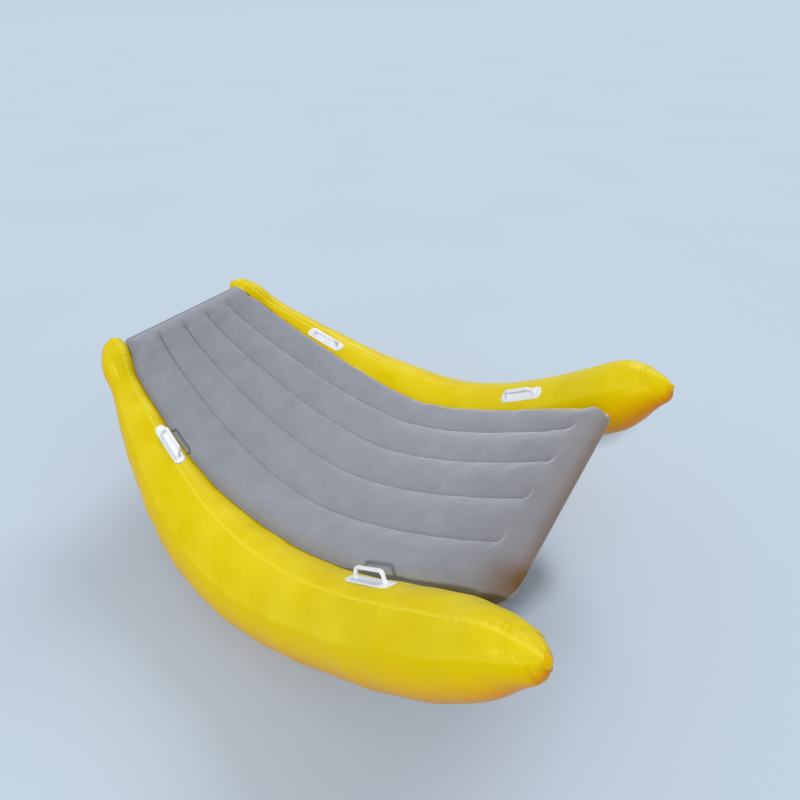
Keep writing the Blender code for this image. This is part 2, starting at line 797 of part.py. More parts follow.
def valve_cap(name, material):
    """A disc with a tapered plug below and a finger tab; its hinge tongue ends at the insert's lug."""
    top = CAP_FOOT + CAP_THICKNESS
    plug = INSERT_BORE_RADIUS - CAP_PLUG_CLEARANCE
    profile = [
        (0.0, top),
        (CAP_RADIUS, top),
        (CAP_RADIUS, CAP_FOOT),
        (plug, CAP_FOOT),
        (plug - CAP_PLUG_TAPER, CAP_FOOT - CAP_PLUG_LENGTH),
        (0.0, CAP_FOOT - CAP_PLUG_LENGTH),
    ]
    body = turned_piece(name + "_body", profile, VALVE_SIDES, material, CUTTERS)
    low = Vector((-CAP_RADIUS - CAP_TAB, -CAP_TAB_WIDTH / 2, CAP_FOOT))
    high = Vector((HINGE_REACH, CAP_TAB_WIDTH / 2, top))
    tongue = box_guide(name + "_tongue", low, high)
    piece = add_object(name, joined(body, tongue, name), material)
    return hinged_at(piece, Vector((HINGE_REACH, 0.0, CAP_FOOT)))


def hinged_at(piece, point):
    """Moves the piece's origin to its hinge, leaving its shape where it is."""
    piece.data.transform(Matrix.Translation(-point))
    piece.location = point
    return piece


def valve(prefix, seat, skin, materials):
    """Builds one valve on its seat frame and cuts the hole for its neck in the skin."""
    anchor = bpy.data.objects.new(prefix + "_seat", None)
    CHAIR.objects.link(anchor)
    anchor.matrix_world = seat
    pieces = [
        valve_base(prefix + "_base", materials["valve"]),
        valve_gasket(prefix + "_gasket", materials["gasket"]),
        valve_insert(prefix + "_insert", materials["valve"]),
        valve_flap(prefix + "_flap", materials["gasket"]),
        valve_cap(prefix + "_cap", materials["valve"]),
    ]
    for piece in pieces:
        piece.parent = anchor
    hole = disc_mesh(prefix + "_hole", VALVE_NECK_RADIUS + GAP, -OVERRUN / 2, OVERRUN / 2)
    cutter = bpy.data.objects.new(prefix + "_hole", hole)
    CUTTERS.objects.link(cutter)
    cutter.matrix_world = seat
    cut(skin, cutter)


def facet_seat(corners, along, outward):
    """Frame on a flat facet of a skin, lifted by the weld gap, with Z pointing out."""
    middle = sum(corners, Vector()) / len(corners)
    normal = (corners[2] - corners[0]).cross(corners[3] - corners[1]).normalized()
    if normal.dot(outward) < 0:
        normal.negate()
    return Matrix.Translation(middle + normal * GAP) @ aimed(normal, along)


def tube_valve_seat(side):
    cells = [(0, 0), (1, 0), (1, 1), (0, 1)]
    corners = [inner_panel_point(side, TUBE_VALVE_COLUMN + c, TUBE_VALVE_ROW + r) for c, r in cells]
    share = (ROWS[TUBE_VALVE_ROW] + ROWS[TUBE_VALVE_ROW + 1]) / 2
    x, z, along_x, along_z = rocker(share)
    centre = Vector((x, side * half_spread(share), z))
    outward = sum(corners, Vector()) / 4 - centre
    return facet_seat(corners, Vector((along_x, 0.0, along_z)), outward)


def mattress_valve_seat():
    """On the underside, in the middle channel, between two rows."""
    share = share_at(MATTRESS_VALVE_X)
    row = max(k for k, here in enumerate(MATTRESS_SHARES) if here <= share)
    ends = MATTRESS_SHARES[row:row + 2]
    side = CHANNEL_WIDTH * INNER_CHANNEL_SHARES[3]
    corners = []
    for here, y in ((ends[0], -side), (ends[1], -side), (ends[1], side), (ends[0], side)):
        corners.append(chair_point(here, y, mattress_line(here) - mattress_height(here, 1.0)))
    along_x, along_z = rocker(share)[2:]
    return facet_seat(corners, Vector((along_x, 0.0, along_z)), Vector((along_z, 0.0, -along_x)))


def build():
    yellow = plain_material("yellow_film", (0.68, 0.52, 0.0), 0.22)
    grey = plain_material("grey_flock", (0.26, 0.26, 0.29), 0.9)
    under = plain_material("grey_film", (0.22, 0.22, 0.25), 0.5)
    clear = plain_material("web_film", (0.55, 0.55, 0.58), 0.5)
    white = plain_material("white_handle", (0.80, 0.82, 0.85), 0.4)
    valve_white = plain_material("valve_plastic", (0.78, 0.79, 0.80), 0.35)
    gasket = plain_material("gasket_rubber", (0.05, 0.05, 0.05), 0.7)
    materials = {"valve": valve_white, "gasket": gasket}
    inner = {}
    for side, word in ((1, "left"), (-1, "right")):
        outer_panel(word + "_tube_outer_panel", side, yellow)
        inner[word] = inner_panel(word + "_tube_inner_panel", side, yellow)
        nose_plug(word + "_tube_head_plug", side, -1, yellow)
        nose_plug(word + "_tube_foot_plug", side, 1, yellow)
        weld_band(word + "_weld_band", side, yellow)
        grab_handle(word + "_head_handle", side, HEAD_HANDLE_X, HEAD_HANDLE_LEAN, white)
        grab_handle(word + "_foot_handle", side, FOOT_HANDLE_X, FOOT_HANDLE_LEAN, white)
        valve(word + "_tube_valve", tube_valve_seat(side), inner[word], materials)
    mattress_sheet("mattress_top_sheet", 1, grey)
    bottom = mattress_sheet("mattress_bottom_sheet", -1, under)
    for number, seam in enumerate(SEAM_PLACES, 1):
        mattress_web(f"mattress_web_{number}", seam, clear)
    valve("mattress_valve", mattress_valve_seat(), bottom, materials)


build()
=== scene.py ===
import json
import math
import random

import bpy
import numpy as np
from mathutils import Matrix, Vector


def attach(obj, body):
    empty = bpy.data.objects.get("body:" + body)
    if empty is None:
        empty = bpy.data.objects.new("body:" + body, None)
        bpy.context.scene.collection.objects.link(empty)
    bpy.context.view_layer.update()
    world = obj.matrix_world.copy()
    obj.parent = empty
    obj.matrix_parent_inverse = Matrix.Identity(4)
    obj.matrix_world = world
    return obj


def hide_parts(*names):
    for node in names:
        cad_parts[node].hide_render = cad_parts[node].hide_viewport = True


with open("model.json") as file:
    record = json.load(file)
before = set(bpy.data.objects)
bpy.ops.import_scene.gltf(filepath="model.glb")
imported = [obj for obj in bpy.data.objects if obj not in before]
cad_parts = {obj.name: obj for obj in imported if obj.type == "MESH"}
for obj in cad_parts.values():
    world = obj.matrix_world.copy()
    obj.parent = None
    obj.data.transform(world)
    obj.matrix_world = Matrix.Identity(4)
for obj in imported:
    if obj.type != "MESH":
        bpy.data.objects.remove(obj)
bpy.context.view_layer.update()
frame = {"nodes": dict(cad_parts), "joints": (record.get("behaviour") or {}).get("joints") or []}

# ---------------------------------------------------------------- camera
# The chair was photographed from beyond its foot end on the sitter's right, from about a
# standing adult's shoulder, with a wide lens that was held a couple of degrees off level.

SENSOR_MM = 36.0
PICTURE_PX = 800
FOCUS_PX = 503.3
LENS_CENTRE_PX = (370.0, 395.0)
AIM = Vector((0.1705, -0.0450, 0.6884))
TURN = math.radians(37.90)
RISE = math.radians(37.69)
ROLL = math.radians(-2.25)
DISTANCE = 1.7431

back = Vector((math.sin(TURN) * math.cos(RISE), -math.cos(TURN) * math.cos(RISE),
               math.sin(RISE)))
level = Vector((math.cos(TURN), math.sin(TURN), 0.0))
upward = back.cross(level)
picture_right = level * math.cos(ROLL) + upward * math.sin(ROLL)
picture_up = upward * math.cos(ROLL) - level * math.sin(ROLL)
lens = bpy.data.cameras.new("camera")
lens.sensor_width = SENSOR_MM
lens.lens = FOCUS_PX * SENSOR_MM / PICTURE_PX
lens.shift_x = (PICTURE_PX / 2 - LENS_CENTRE_PX[0]) / PICTURE_PX
lens.shift_y = (LENS_CENTRE_PX[1] - PICTURE_PX / 2) / PICTURE_PX
camera = bpy.data.objects.new("camera", lens)
turned = Matrix((picture_right, picture_up, back)).transposed().to_4x4()
camera.matrix_world = Matrix.Translation(AIM + back * DISTANCE) @ turned
bpy.context.scene.collection.objects.link(camera)
bpy.context.scene.camera = camera

# ---------------------------------------------------------------- air tubes
# Each tube is two crescents of plasticised PVC film, 0.6 mm thick, cut in the plane of the
# rocker's curve and heat-welded to each other along the top and the bottom. Air pressure
# rounds the pair into a banana that narrows towards the head and gathers into pleated noses.

LOWEST_POINT_X = 0.0408
HEAD_REACH, HEAD_RISE, HEAD_CLIMB_POWER = 1.0275, 0.521, 2.03
FOOT_REACH, FOOT_RISE, FOOT_CLIMB_POWER = 0.9405, 0.550, 1.71
HEAD_HALF_SPREAD, HEAD_SQUARE_SHARE = 0.336, 0.94
MIDDLE_HALF_SPREAD = 0.586
FOOT_HALF_SPREAD, FOOT_SQUARE_SHARE = 0.557, 0.27
TUBE_RADIUS = 0.1645
GIRTH_PLACES = np.array((-1.0, -0.95, -0.85, -0.70, -0.50, -0.38, -0.22, 0.0, 0.27, 0.50,
                         0.70, 0.85, 0.95, 1.0))
GIRTH_KEPT = np.array((0.62, 0.64, 0.46, 0.59, 0.785, 0.90, 0.98, 1.0, 0.935, 0.867,
                       0.857, 0.85, 0.77, 0.75))
HEAD_NOSE_ORDER, HEAD_NOSE_POWER = 7.8, 0.50
FOOT_NOSE_ORDER, FOOT_NOSE_POWER = 5.7, 0.43
FILM = 0.0006
UPPER_SEAM, UPPER_SEAM_SWING = math.radians(92), math.radians(12)
LOWER_SEAM = math.radians(260)
SEAM_LAP = 0.010
PLUG_RADIUS = 0.014
REST_DEPTH = 0.0020
GAP = 0.0003
TOP_HOLLOW, HOLLOW_SHARE, HOLLOW_LENGTH = 0.013, -0.33, 0.17
FOOT_BROW, BROW_SHARE, BROW_LENGTH, BROW_ANGLE = 0.020, 0.93, 0.055, math.radians(62)
FOOT_CHEEK, CHEEK_SHARE, CHEEK_LENGTH = 0.014, 0.86, 0.09
NOSE_DROOP, DROOP_LENGTH = 0.022, 0.050
HEAD_BLUNT, BLUNT_LENGTH = 0.012, 0.022
NOSE_START, HALVINGS, TAPER_STEP = 0.95, 40, 0.0001


def rocker(share):
    """Centre line: x, z and its direction, for shares of the reach from -1 (head) to 1 (foot)."""
    share = np.asarray(share, float)
    head = share < 0
    reach = np.where(head, HEAD_REACH, FOOT_REACH)
    rise = np.where(head, HEAD_RISE, FOOT_RISE)
    power = np.where(head, HEAD_CLIMB_POWER, FOOT_CLIMB_POWER)
    slope = np.sign(share) * power * rise * np.abs(share) ** (power - 1) / reach
    length = np.hypot(1, slope)
    height = TUBE_RADIUS - REST_DEPTH + rise * np.abs(share) ** power
    return LOWEST_POINT_X + share * reach, height, 1 / length, slope / length


def slant(share):
    """Metres along the centre line for one whole share."""
    return np.where(np.asarray(share) < 0, HEAD_REACH, FOOT_REACH) / rocker(share)[2]


def girth(share):
    """Share of the full radius between the measured places, smooth and without overshoot."""
    rates = np.diff(GIRTH_KEPT) / np.diff(GIRTH_PLACES)
    before, after = rates[:-1], rates[1:]
    same_way = before * after > 0
    knots = np.where(same_way, 2 * before * after / np.where(same_way, before + after, 1.0), 0.0)
    start, end = np.append(rates[0], knots), np.append(knots, rates[-1])
    k = np.clip(np.searchsorted(GIRTH_PLACES, share, side="right") - 1, 0, len(rates) - 1)
    width = GIRTH_PLACES[k + 1] - GIRTH_PLACES[k]
    t = (share - GIRTH_PLACES[k]) / width
    bend = t * (1 - t) * width * ((1 - t) * (start[k] - rates[k]) - t * (end[k] - rates[k]))
    return GIRTH_KEPT[k] + (GIRTH_KEPT[k + 1] - GIRTH_KEPT[k]) * t + bend


def tube_radius(share):
    """Radius of the plain round tube, drawn in to nothing at both noses."""
    share = np.asarray(share, float)
    order = np.where(share < 0, HEAD_NOSE_ORDER, FOOT_NOSE_ORDER)
    power = np.where(share < 0, HEAD_NOSE_POWER, FOOT_NOSE_POWER)
    return TUBE_RADIUS * girth(share) * np.maximum(0.0, 1 - np.abs(share) ** order) ** power


def share_of_radius(radius, end):
    """Where the nose has narrowed to this radius, at the head (-1) or the foot (1)."""
    inner, outer = NOSE_START, 1.0
    for _ in range(HALVINGS):
        middle = (inner + outer) / 2
        inner, outer = (middle, outer) if tube_radius(end * middle) > radius else (inner, middle)
    return end * outer


def half_spread(share):
    """How far a tube's centre line lies from the chair's middle."""
    share = np.asarray(share, float)
    end = np.where(share < 0, HEAD_HALF_SPREAD, FOOT_HALF_SPREAD)
    square = np.where(share < 0, HEAD_SQUARE_SHARE, FOOT_SQUARE_SHARE)
    splay = share ** 2 * (square + (1 - square) * np.abs(share))
    return MIDDLE_HALF_SPREAD + (end - MIDDLE_HALF_SPREAD) * splay


def nose_taper(share):
    """How fast the tube widens along its centre line."""
    step = np.minimum(TAPER_STEP, (1 - np.abs(share)) / 4)
    return (tube_radius(share + step) - tube_radius(share - step)) / (2 * step * slant(share))


def hump(off, width):
    """1 in the middle of a fold, ridge or hollow, and fading to 0 over about this width."""
    return np.exp(-(off / width) ** 2)


def fullness(side, share, angle):
    """Metres that the skin stands out from the plain round tube, as read from the photograph."""
    over = (0.5 + 0.5 * np.sin(angle)) ** 1.5
    above = np.maximum(0, np.cos(angle - BROW_ANGLE)) ** 3
    hollow = -TOP_HOLLOW * hump(share - HOLLOW_SHARE, HOLLOW_LENGTH) * over
    brow = FOOT_BROW * hump(share - BROW_SHARE, BROW_LENGTH) * above
    cheek = FOOT_CHEEK * hump(share - CHEEK_SHARE, CHEEK_LENGTH) * (side > 0)
    return hollow + brow + cheek


def tube_point(side, share, angle, lift=0.0):
    """Points over a tube's skin, lifted square to it. Angle 0 looks out, and 90 degrees up."""
    x, z, along_x, along_z = rocker(share)
    taper = nose_taper(share)
    square = np.hypot(1, taper)
    lift = lift + fullness(side, share, angle)
    reach = tube_radius(share) + lift / square
    slide = -lift * taper / square
    from_tip = (1 - np.abs(share)) * slant(share)
    droop = np.where(share > 0, NOSE_DROOP, 0.0) * hump(from_tip, DROOP_LENGTH)
    slide = slide + np.where(share < 0, HEAD_BLUNT, 0.0) * hump(from_tip, BLUNT_LENGTH)
    up = reach * np.sin(angle) - droop
    y = side * (half_spread(share) + reach * np.cos(angle))
    return np.stack([x - up * along_z + slide * along_x, y, z + up * along_x + slide * along_z], -1)


def upper_seam(share):
    """The seam on top lies a little nearer the mattress towards the head."""
    return UPPER_SEAM - UPPER_SEAM_SWING * share


def wrapped(angle):
    """The same angle between half a turn back and half a turn on."""
    return (angle + math.pi) % (2 * math.pi) - math.pi


def eased(value):
    """0 below 0, 1 above 1, and smooth between."""
    value = np.clip(value, 0, 1)
    return value * value * (3 - 2 * value)


def swell(along, across, seed, size):
    """Soft unevenness about 1 high: waves of about this size in random directions."""
    waves = 12
    draw = random.Random(seed)
    total = np.zeros(np.broadcast(along, across).shape)
    for _ in range(waves):
        turn = draw.uniform(0, math.pi)
        pace = 2 * math.pi / (size * draw.uniform(0.7, 1.6))
        run = along * math.cos(turn) + across * math.sin(turn)
        total += np.sin(run * pace + draw.uniform(0, 6.28))
    return total / math.sqrt(waves)


def skin_mesh(name, points, material, thickness, turned=False, kept=None):
    """A smooth grid of quads through points[row, column], thickened inwards into a film."""
    rows, columns = points.shape[:2]
    index = np.arange(rows * columns).reshape(rows, columns)
    quads = np.stack([index[:-1, :-1], index[:-1, 1:], index[1:, 1:], index[1:, :-1]], -1)
    quads = quads.reshape(-1, 4) if kept is None else quads[kept]
    used, order = np.unique(quads, return_inverse=True)
    quads = order.reshape(-1, 4)
    mesh = bpy.data.meshes.new(name)
    quads = quads[:, ::-1] if turned else quads
    mesh.from_pydata(points.reshape(-1, 3)[used].tolist(), [], quads.tolist())
    mesh.shade_smooth()
    mesh.materials.append(material)
    piece = bpy.data.objects.new(name, mesh)
    bpy.context.scene.collection.objects.link(piece)
    if thickness:
        shell = piece.modifiers.new("film", "SOLIDIFY")
        shell.thickness = thickness
        shell.offset = -1
    return piece, used


def mark_points(piece, name, values):
    """Stores a number for each point, for the piece's material to read."""
    layer = piece.data.attributes.new(name, "FLOAT", "POINT")
    layer.data.foreach_set("value", np.asarray(values, np.float32))


def dress(piece, slot, *nodes):
    """The piece moves with the chair and stands for these CAD nodes; slot is not used."""
    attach(piece, "chair")
    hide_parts(*nodes)


def linear(hex_colour):
    """An sRGB hex colour as the linear RGBA that the shader wants."""
    levels = [int(hex_colour[k:k + 2], 16) / 255 for k in (1, 3, 5)]
    return tuple(v / 12.92 if v <= 0.04045 else ((v + 0.055) / 1.055) ** 2.4
                 for v in levels) + (1.0,)


def add(material, kind, links=(), **settings):
    """Adds a node. Settings are its properties or inputs, or a ramp's stops; links are pairs
    of an input and the output that feeds it."""
    node = material.node_tree.nodes.new(kind)
    for key, value in settings.items():
        if key == "stops":
            ramp = node.color_ramp.elements
            while len(ramp) < len(value):
                ramp.new(0.5)
            for element, (place, colour) in zip(ramp, value):
                element.position, element.color = place, linear(colour)
        elif hasattr(node, key):
            setattr(node, key, value)
        else:
            node.inputs[key.replace("_", " ")].default_value = value
    for target, source in links:
        material.node_tree.links.new(source, node.inputs[target])
    return node


def new_material(name, **values):
    """A Principled material with values on its sockets, its object coordinates, its shader."""
    material = bpy.data.materials.new(name)
    material.use_nodes = True
    shader = material.node_tree.nodes["Principled BSDF"]
    for key, value in values.items():
        shader.inputs[key.replace("_", " ")].default_value = value
    return material, add(material, "ShaderNodeTexCoord").outputs["Object"], shader


def finish(material, shader, colour, normal):
    """Joins a material's colour and relief to its shader."""
    material.node_tree.links.new(colour, shader.inputs["Base Color"])
    material.node_tree.links.new(normal, shader.inputs["Normal"])


# Plasticised PVC, calendered and glossy: deep warm yellow, with painted shade that turns the
# flanks that face the floor orange and a painted glint along the top seam. The ripple is about
# 7 cm across and the calendered grain, drawn 6 mm across where the real one is 1 mm, softens
# the highlights.
pvc, place, shader = new_material("glossy_yellow_pvc_film", Roughness=0.33, IOR=1.53,
                                  Specular_IOR_Level=0.14, Specular_Tint=linear("#FFE970"))
# The painted shade and the painted seam glint are stored on each skin's points.
shade = add(pvc, "ShaderNodeAttribute", attribute_name="shade")
cloud = add(pvc, "ShaderNodeTexNoise", [("Vector", place)], Scale=7.0, Detail=3.0)
blend = add(pvc, "ShaderNodeMath", [(0, cloud.outputs["Fac"]), (2, shade.outputs["Fac"])],
            operation="MULTIPLY_ADD")
blend.inputs[1].default_value = 0.16
# The ramp runs from the painted glint on the seam, through the plain yellow, to the painted orange
# shade of the lower flanks.
tint = add(pvc, "ShaderNodeValToRGB", [("Fac", blend.outputs[0])],
           stops=[(0.0, "#F0DC30"), (0.12, "#E0C600"), (0.45, "#E1B800"), (1.0, "#D68600")])
ripple = add(pvc, "ShaderNodeTexNoise", [("Vector", place)], Scale=14.0, Detail=2.0)
grain = add(pvc, "ShaderNodeTexNoise", [("Vector", place)], Scale=160.0, Detail=2.0)
waves = add(pvc, "ShaderNodeBump", [("Height", ripple.outputs["Fac"])],
            Strength=0.10, Distance=0.010)
peel = add(pvc, "ShaderNodeBump",
           [("Height", grain.outputs["Fac"]), ("Normal", waves.outputs["Normal"])],
           Strength=0.06, Distance=0.0012)
finish(pvc, shader, tint.outputs["Color"], peel.outputs["Normal"])


VALLEY_DEPTH, VALLEY_WIDTH = 0.0010, 0.014
RIDGE_HEIGHT, RIDGE_WIDTH = 0.0018, 0.0034
TOP_PUCKERS, BOTTOM_PUCKERS = 0.0004, 0.0002
PUCKER_WAVES, PUCKER_LENGTHS = 5, (0.014, 0.040)
PUCKER_SLANT, PUCKER_REACH = 25, 0.013


def seam_relief(side, share, angle, radius):
    """A weld draws the skin into a shallow valley with the lap's puckered ridge in it."""
    relief = np.zeros(np.broadcast(share, angle).shape)
    along = share * slant(share)
    welds = ((upper_seam(share), TOP_PUCKERS, 1), (LOWER_SEAM, BOTTOM_PUCKERS, 2))
    for seam, puckers, number in welds:
        across = wrapped(angle - seam) * radius
        relief -= VALLEY_DEPTH * hump(across, VALLEY_WIDTH)
        relief += RIDGE_HEIGHT * hump(across, RIDGE_WIDTH)
        draw = random.Random(11 * side + number)
        wave = np.zeros(relief.shape)
        for _ in range(PUCKER_WAVES):
            pace = 2 * math.pi / draw.uniform(*PUCKER_LENGTHS)
            start = draw.uniform(0, 6.28)
            lean = draw.uniform(-PUCKER_SLANT, PUCKER_SLANT)
            wave += np.sin(along * pace + start + across * lean)
        near = np.exp(-np.abs(across) / PUCKER_REACH)
        relief += puckers * wave * near * np.clip(radius / 0.06, 0, 1)
    return relief


# Three folds lie across the foot's nose: the angle of each one's middle, how it leans, how far
# it lies from the tip, and half the angle that it spans.
CROSS_FOLDS = ((1.60, -0.010, 0.044, 0.75), (0.0, 0.004, 0.016, 0.55), (3.4, 0.006, 0.030, 0.5))
FOLD_DEPTH, FOLD_WIDTH = 0.0032, 0.0034
ROLL_HEIGHT, ROLL_WIDTH, ROLL_OFFSET = 0.0036, 0.0055, 0.0080
NOSE_PLEATS, PLEAT_REACH, PLEAT_DEPTHS = 9, 0.030, {-1: 0.0008, 1: 0.0016}
PLEAT_WIDTH, PLEAT_BANK_OFFSET, PLEAT_BANK_WIDTH = 0.0042, 0.011, 0.006


def pleat_relief(side, share, angle, radius):
    """Soft pleats where the film gathers into each nose, and the folds across the foot's."""
    relief = np.zeros(np.broadcast(share, angle).shape)
    from_foot = (1 - share) * slant(1.0)
    for middle, lean, away, half in CROSS_FOLDS:
        off = wrapped(angle - middle)
        place_of_fold = from_foot - away - lean * off ** 2
        window = eased(1.6 - np.abs(off) / half)
        relief -= FOLD_DEPTH * window * hump(place_of_fold, FOLD_WIDTH)
        relief += ROLL_HEIGHT * window * hump(place_of_fold - ROLL_OFFSET, ROLL_WIDTH)
    for end, deep in PLEAT_DEPTHS.items():
        draw = random.Random(40 + end + 3 * side)
        from_tip = (share_of_radius(PLUG_RADIUS, end) - share) * end * slant(end)
        for number in range(NOSE_PLEATS):
            middle = 2 * math.pi * (number + draw.uniform(-0.3, 0.3)) / NOSE_PLEATS
            length = PLEAT_REACH * draw.uniform(0.45, 1.25)
            depth = deep * draw.uniform(0.5, 1.2)
            off = wrapped(angle - middle - 1.2 * from_tip * draw.uniform(-1, 1))
            fade = np.clip(1 - from_tip / length, 0, 1) ** 0.7 * np.clip(from_tip / 0.006, 0, 1)
            across = np.abs(off) * np.maximum(radius, 0.008)
            bank = hump(across - PLEAT_BANK_OFFSET, PLEAT_BANK_WIDTH)
            relief -= depth * fade * np.exp(-across / PLEAT_WIDTH)
            relief += 0.45 * depth * fade * bank
    return relief


VALVE_FLANGE_RADIUS = 0.025
VALVE_HOLE_RADIUS = 0.0185
VALVE_DEPTH, FLAT_MARGIN, FLAT_FADE = 0.05, 0.002, 0.035


def pressed_flat(points, valve):
    """Lays the skin flat under a valve's welded flange, and opens the round hole for its neck."""
    turn = next(joint for joint in frame["joints"] if joint["name"] == valve + "_turn")
    seat, normal = np.array(turn["pos_m"]), np.array(turn["axis"])
    away = points - seat
    height = away @ normal
    flat = away - height[..., None] * normal
    reach = np.linalg.norm(flat, axis=-1)
    near = np.abs(height) < VALVE_DEPTH
    press = eased(1 - (reach - VALVE_FLANGE_RADIUS - FLAT_MARGIN) / FLAT_FADE) * near
    points = points - (press * (height + GAP))[..., None] * normal
    inside = near & (reach < VALVE_HOLE_RADIUS)
    outward = flat * (VALVE_HOLE_RADIUS / np.maximum(reach, 1e-6) - 1)[..., None]
    points = points + inside[..., None] * outward
    corners = inside[:-1, :-1] & inside[1:, :-1] & inside[:-1, 1:] & inside[1:, 1:]
    return points, ~corners


PANEL_ROWS, PANEL_COLUMNS, COLUMN_CROWDING = 181, 129, 0.8
SWELL_HEIGHT, SWELL_SIZE, SWELL_ROUND = 0.0010, 0.16, 1.3
LAP_CLEARANCE, LAP_SLOPE = 0.0002, 1.6
# Painted shade: the film is painted more orange the further its flank turns towards the floor.
MIDDLE_SHADE, SHADE_SWING = 0.46, 0.75
# A painted glint: a paler line along the top seam, this strong and this wide.
PAINTED_SEAM_GLINT, PAINTED_GLINT_WIDTH = 0.35, 0.0030

half_turns = np.sin(np.linspace(0, math.pi / 2, PANEL_ROWS))
head_tip, foot_tip = share_of_radius(PLUG_RADIUS, -1), share_of_radius(PLUG_RADIUS, 1)
tube_shares = np.concatenate([head_tip * half_turns[:0:-1], foot_tip * half_turns])


def tube_panel(name, side, start, end, lapped_under, valve=None):
    """One crescent of a tube; its edges pass under the other panel where lapped_under is set."""
    steps = np.linspace(0, 1, PANEL_COLUMNS)
    steps = steps - COLUMN_CROWDING * np.sin(2 * math.pi * steps) / (2 * math.pi)
    share = tube_shares[:, None] * np.ones_like(steps)
    start, end = (np.broadcast_to(edge, tube_shares.shape)[:, None] for edge in (start, end))
    angle = start + (end - start) * steps
    radius = tube_radius(share)
    along = share * slant(share) + 0.7 * radius * np.sin(angle)
    across = SWELL_ROUND * radius * np.cos(angle)
    lift = seam_relief(side, share, angle, radius) + pleat_relief(side, share, angle, radius)
    lift += SWELL_HEIGHT * swell(along, across, 5 + side, SWELL_SIZE)
    if lapped_under:
        edge = np.minimum(angle - start, end - angle) * TUBE_RADIUS
        lift = lift - (FILM + LAP_CLEARANCE) * np.clip(LAP_SLOPE - edge / SEAM_LAP, 0, 1)
    points = tube_point(side, share, angle, lift)
    kept = None
    if valve:
        points, kept = pressed_flat(points, valve)
    points[..., 2] = np.maximum(points[..., 2], 0.0)
    piece, used = skin_mesh(name, points, pvc, FILM, turned=side < 0, kept=kept)
    from_seam = wrapped(angle - upper_seam(share)) * radius
    # Painted shade: lighter on top, orange on the flanks that face the floor.
    painted_shade = np.clip(MIDDLE_SHADE - SHADE_SWING * np.sin(angle), 0, 1)
    # Painted glint: the colour is paler along the top seam's lapped ridge.
    painted_shade -= PAINTED_SEAM_GLINT * hump(from_seam, PAINTED_GLINT_WIDTH)
    mark_points(piece, "shade", painted_shade.ravel()[used])
    return piece


lap_angle = SEAM_LAP / TUBE_RADIUS
for side, word in ((1, "left"), (-1, "right")):
    upper = upper_seam(tube_shares)
    outer = tube_panel(word + "_outer_skin", side, LOWER_SEAM, upper + 2 * math.pi, False)
    dress(outer, "yellow_film", word + "_tube_outer_panel")
    inner = tube_panel(word + "_inner_skin", side, upper - lap_angle, LOWER_SEAM + lap_angle,
                       True, word + "_tube_valve")
    dress(inner, "yellow_film", word + "_tube_inner_panel")

# ---------------------------------------------------------------- nose nubs
# Where a tube's film gathers, a small welded plug closes it. It shows as a stubby nub with
# the folds of the film drawn round it, in the same glossy film.

NUB_HEIGHTS = {-1: 0.004, 1: 0.013}
NUB_FOLDS, FOLD_SHARE = 9, 0.05
NUB_ROOT, NUB_ROOT_SHARE, NUB_NARROWING = 0.010, 1.16, 0.60
NUB_SHADE = 0.45


def nose_nub(name, side, end):
    """A fluted nub on the tip of a nose, closed on top and reaching under the gathered film."""
    tip = share_of_radius(PLUG_RADIUS, end)
    x, z, along_x, along_z = rocker(end)
    outward = np.array((along_x, 0.0, along_z)) * end
    base = tube_point(side, np.array(tip), np.array((0.0, math.pi))).mean(axis=0)
    sideways = np.array((0.0, 1.0, 0.0))
    upward = np.cross(outward, sideways)
    step, turn = np.meshgrid(np.linspace(0, 1, 25), np.linspace(0, 2 * math.pi, 73), indexing="ij")
    height = -NUB_ROOT + (NUB_HEIGHTS[end] + NUB_ROOT) * step
    narrowed = NUB_ROOT_SHARE - NUB_NARROWING * eased(height / NUB_HEIGHTS[end])
    radius = PLUG_RADIUS * narrowed * np.sqrt(np.clip(1 - step ** 6, 0, 1))
    folds = 1 + FOLD_SHARE * np.cos(NUB_FOLDS * turn + side) * (1 - 0.5 * step)
    points = (base + height[..., None] * outward
              + (radius * folds * np.cos(turn))[..., None] * sideways
              + (radius * folds * np.sin(turn))[..., None] * upward)
    piece, used = skin_mesh(name, points, pvc, 0.0, turned=True)
    weld = piece.modifiers.new("closed", "WELD")
    weld.merge_threshold = 0.00005
    mark_points(piece, "shade", np.full(len(used), NUB_SHADE))
    return piece


for side, word in ((1, "left"), (-1, "right")):
    for end, end_word in ((-1, "head"), (1, "foot")):
        nub = nose_nub(f"{word}_{end_word}_nub", side, end)
        dress(nub, "yellow_film", f"{word}_tube_{end_word}_plug")

# ---------------------------------------------------------------- mattress
# Five air channels side by side: a flocked top sheet and a plain bottom sheet of PVC, welded
# round the edge, with a web of film standing under each of the four seams. The channels are
# open to each other at both ends, where the seams stop short and pucker.

MATTRESS_HEAD_REACH, MATTRESS_FOOT_REACH = 0.990, 0.8580
MATTRESS_FILM = 0.0008
MIDDLE_TOP_HEIGHT, HEAD_TOP_HEIGHT, FOOT_TOP_HEIGHT = 0.153, 0.074, 0.043
WELD_REACH_SHARE = 0.76
CROWN_HEIGHT, FOOT_CROWN_HEIGHT = 0.042, 0.028
SEAM_SHARE = 0.45
CHANNEL_WIDTH = 0.191
SEAM_STOP, SEAM_FADE = 0.040, 0.045
FOOT_SEAM_STOP = 0.085
WELD_FLANGE, END_ROLL = 0.010, 0.060
FOOT_CORNERS, HEAD_CORNER = {1: 0.190, -1: 0.130}, 0.018
SIDE_BULGE = 0.030
CORNER_START, CORNER_DROP, CORNER_DROP_FROM = 0.330, 0.040, 0.66
CROWN_ROUNDNESS = 0.8
SEAM_PLACES = (-1.5, -0.5, 0.5, 1.5)
BAND_LIFT, BAND_FILM, BAND_HALF_WIDTH, BAND_INSET = 0.0006, 0.0008, 0.010, 0.075
SEAM_CREASE, SEAM_CREASE_WIDTH = 0.0022, 0.0035
